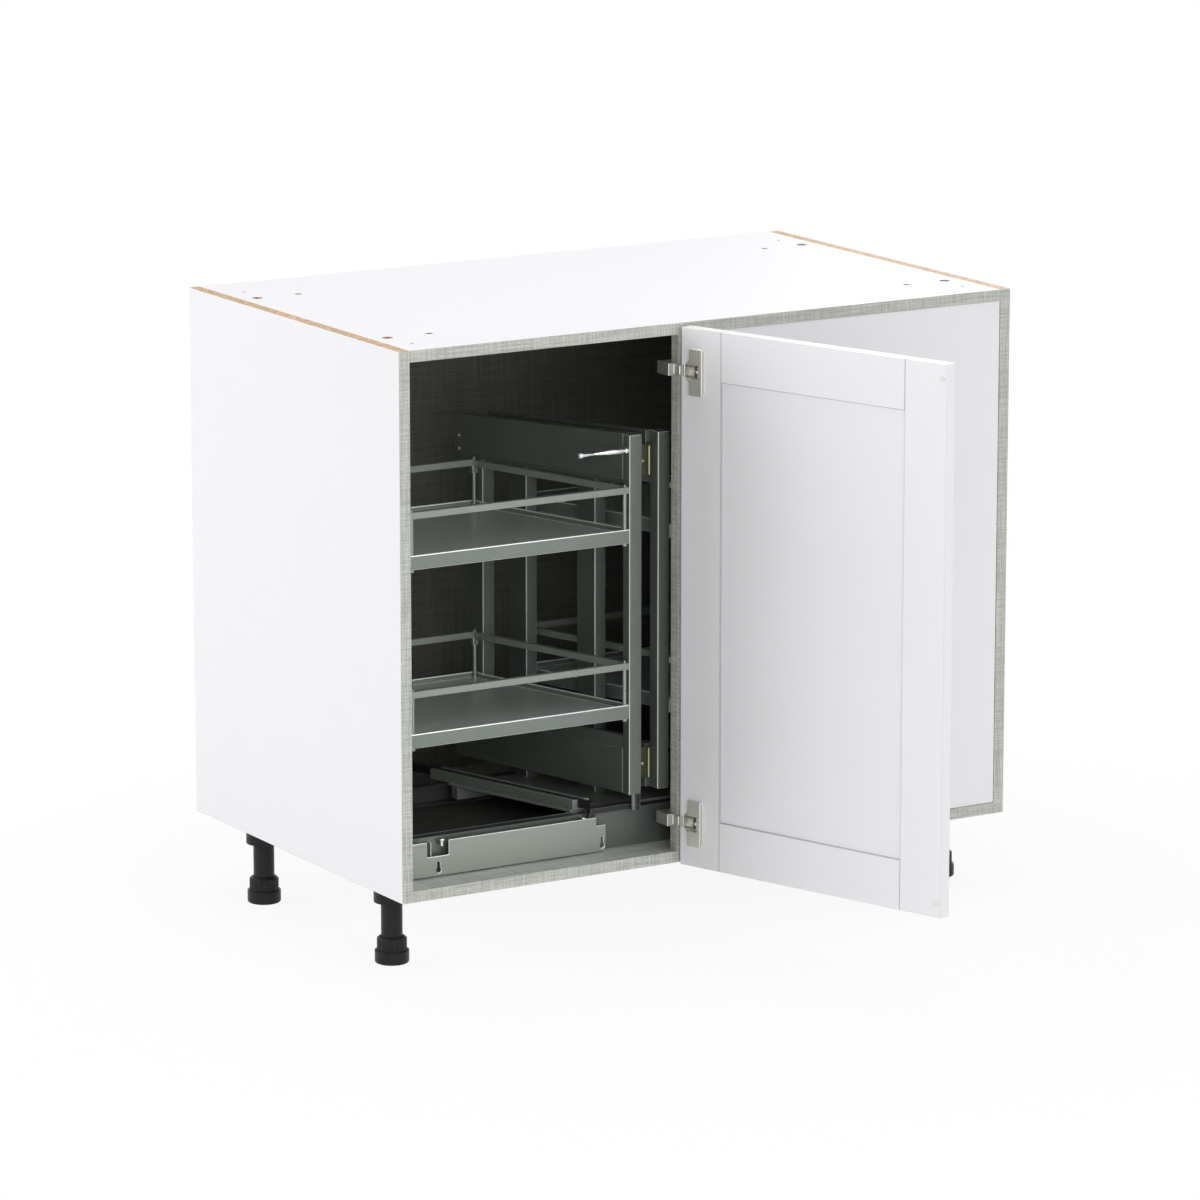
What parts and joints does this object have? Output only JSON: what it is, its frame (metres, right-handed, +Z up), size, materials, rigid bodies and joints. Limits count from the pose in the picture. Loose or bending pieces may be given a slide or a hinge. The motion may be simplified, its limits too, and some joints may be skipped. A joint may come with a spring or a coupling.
{
  "type": "corner base cabinet",
  "caption": "Blind corner base cabinet on adjustable legs, with a framed door, a fixed blind panel and a slide-out fitting of linked tray units",
  "frame": {"origin": "on the floor, at the middle of the footprint of the carcass and its open door", "axes": "+X to the right, +Y to the back of the cabinet, +Z up; the door opens towards -Y"},
  "size_m": [0.991, 1.0468, 0.876],
  "materials": {
    "side_board": "white foil outside, grey-green linen foil inside, raw chipboard on the ends",
    "level_board": "white foil outside, grey-green linen foil inside, raw chipboard in the bores",
    "back_board": "dark grey linen foil",
    "raw_wood": "raw chipboard and beech",
    "stile_board": "grey-green linen foil",
    "blind_board": "smooth white lacquer",
    "linen_edge": "grey-green edge band with a linen grain",
    "door_white": "smooth white lacquer",
    "leg_black": "black, lightly textured",
    "clear_bumper": "clear soft plastic",
    "hinge_nickel": "nickel plated",
    "screw_steel": "zinc plated",
    "rail_grey": "grey-green powder paint, satin",
    "runner_steel": "zinc plated",
    "cover_black": "black",
    "carriage_grey": "pale grey-green powder paint, satin",
    "arm_black": "black powder paint",
    "buffer_white": "white plastic",
    "frame_grey": "grey-green powder paint, satin",
    "tray_grey": "grey-green powder paint, satin",
    "gallery_grey": "grey-green powder paint, satin",
    "knob_chrome": "polished",
    "block_brass": "dull yellow plated",
    "wheel_plastic": "black plastic"
  },
  "bodies": {
    "carcass": {"left_side": "side_board", "right_side": "side_board", "top_panel": "level_board", "bottom_panel": "level_board", "carcass_dowels": "raw_wood", "back_panel": "back_board", "back_rails": "raw_wood", "centre_stile": "stile_board", "blind_panel": "blind_board", "edge_bands": "linen_edge", "leg_sockets": "leg_black", "leg_tubes": "leg_black", "hinge_arms": "hinge_nickel", "hinge_plates": "hinge_nickel", "fixing_screws": "screw_steel", "front_rail": "rail_grey", "rear_rail": "rail_grey", "floor_cover": "cover_black", "runner_outers": "runner_steel"},
    "door": {"door_hinge_stile": "door_white", "door_lock_stile": "door_white", "door_top_rail": "door_white", "door_bottom_rail": "door_white", "door_panel": "door_white", "door_bumpers": "clear_bumper", "hinge_cups": "hinge_nickel", "hinge_cup_screws": "screw_steel"},
    "runner_mid": {"runner_middles": "runner_steel"},
    "pull_carriage": {"runner_inners": "runner_steel", "carriage_plate": "carriage_grey", "carriage_buffers": "buffer_white", "pivot_arm": "arm_black", "pivot_pin": "arm_black", "guide_blade": "arm_black"},
    "front_unit": {"front_post": "frame_grey", "front_back_post": "frame_grey", "front_upper_beam": "frame_grey", "front_lower_beam": "frame_grey", "front_upper_tray": "tray_grey", "front_lower_tray": "tray_grey", "front_galleries": "gallery_grey", "pull_knob": "knob_chrome"},
    "rear_unit": {"rear_front_post": "frame_grey", "rear_upper_beam": "frame_grey", "rear_lower_beam": "frame_grey", "rear_uprights": "frame_grey", "rear_end_posts": "frame_grey", "closing_blocks": "block_brass", "rear_upper_tray": "tray_grey", "rear_lower_tray": "tray_grey", "rear_galleries": "gallery_grey", "rear_base_plate": "rail_grey", "rear_cross_bars": "rail_grey", "guide_channel": "rail_grey"},
    "wheels_left": {"wheelset_left": "wheel_plastic"},
    "wheels_right": {"wheelset_right": "wheel_plastic"},
    "foot_front_left_body": {"foot_front_left": "leg_black"},
    "foot_back_left_body": {"foot_back_left": "leg_black"},
    "foot_front_right_body": {"foot_front_right": "leg_black"},
    "foot_back_right_body": {"foot_back_right": "leg_black"}
  },
  "joints": [
    {"name": "door_swing", "type": "hinge", "parent": "carcass", "child": "door", "pos_m": [-0.0464, -0.09605, 0.492], "axis": [0, 0, 1], "range_deg": [-109, 0]},
    {"name": "pull_out", "type": "slide", "parent": "carcass", "child": "pull_carriage", "axis": [0, -1, 0], "range_m": [0, 0.4]},
    {"name": "runner_travel", "type": "slide", "parent": "carcass", "child": "runner_mid", "axis": [0, -1, 0], "range_m": [0, 0.2]},
    {"name": "front_swing", "type": "hinge", "parent": "pull_carriage", "child": "front_unit", "pos_m": [-0.0985, -0.03955, 0.462], "axis": [0, 0, 1], "range_deg": [0, 95]},
    {"name": "rear_slide", "type": "slide", "parent": "carcass", "child": "rear_unit", "axis": [-1, 0, 0], "range_m": [0, 0.1223]},
    {"name": "wheel_roll_left", "type": "hinge", "parent": "rear_unit", "child": "wheels_left", "pos_m": [-0.0955, 0.11145, 0.1686], "axis": [0, -1, 0], "range_deg": [0, 570]},
    {"name": "wheel_roll_right", "type": "hinge", "parent": "rear_unit", "child": "wheels_right", "pos_m": [0.3745, 0.11145, 0.1686], "axis": [0, -1, 0], "range_deg": [0, 570]},
    {"name": "foot_front_left_screw", "type": "slide", "parent": "carcass", "child": "foot_front_left_body", "axis": [0, 0, -1], "range_m": [-0.01, 0.015]},
    {"name": "foot_back_left_screw", "type": "slide", "parent": "carcass", "child": "foot_back_left_body", "axis": [0, 0, -1], "range_m": [-0.01, 0.015]},
    {"name": "foot_front_right_screw", "type": "slide", "parent": "carcass", "child": "foot_front_right_body", "axis": [0, 0, -1], "range_m": [-0.01, 0.015]},
    {"name": "foot_back_right_screw", "type": "slide", "parent": "carcass", "child": "foot_back_right_body", "axis": [0, 0, -1], "range_m": [-0.01, 0.015]}
  ],
  "couplings": [
    {"joint": "runner_travel", "follows": "pull_out", "ratio": 0.5},
    {"joint": "rear_slide", "follows": "pull_out", "ratio": 0.30573},
    {"joint": "wheel_roll_left", "follows": "pull_out", "rad_per_m": 24.856},
    {"joint": "wheel_roll_right", "follows": "pull_out", "rad_per_m": 24.856}
  ]
}
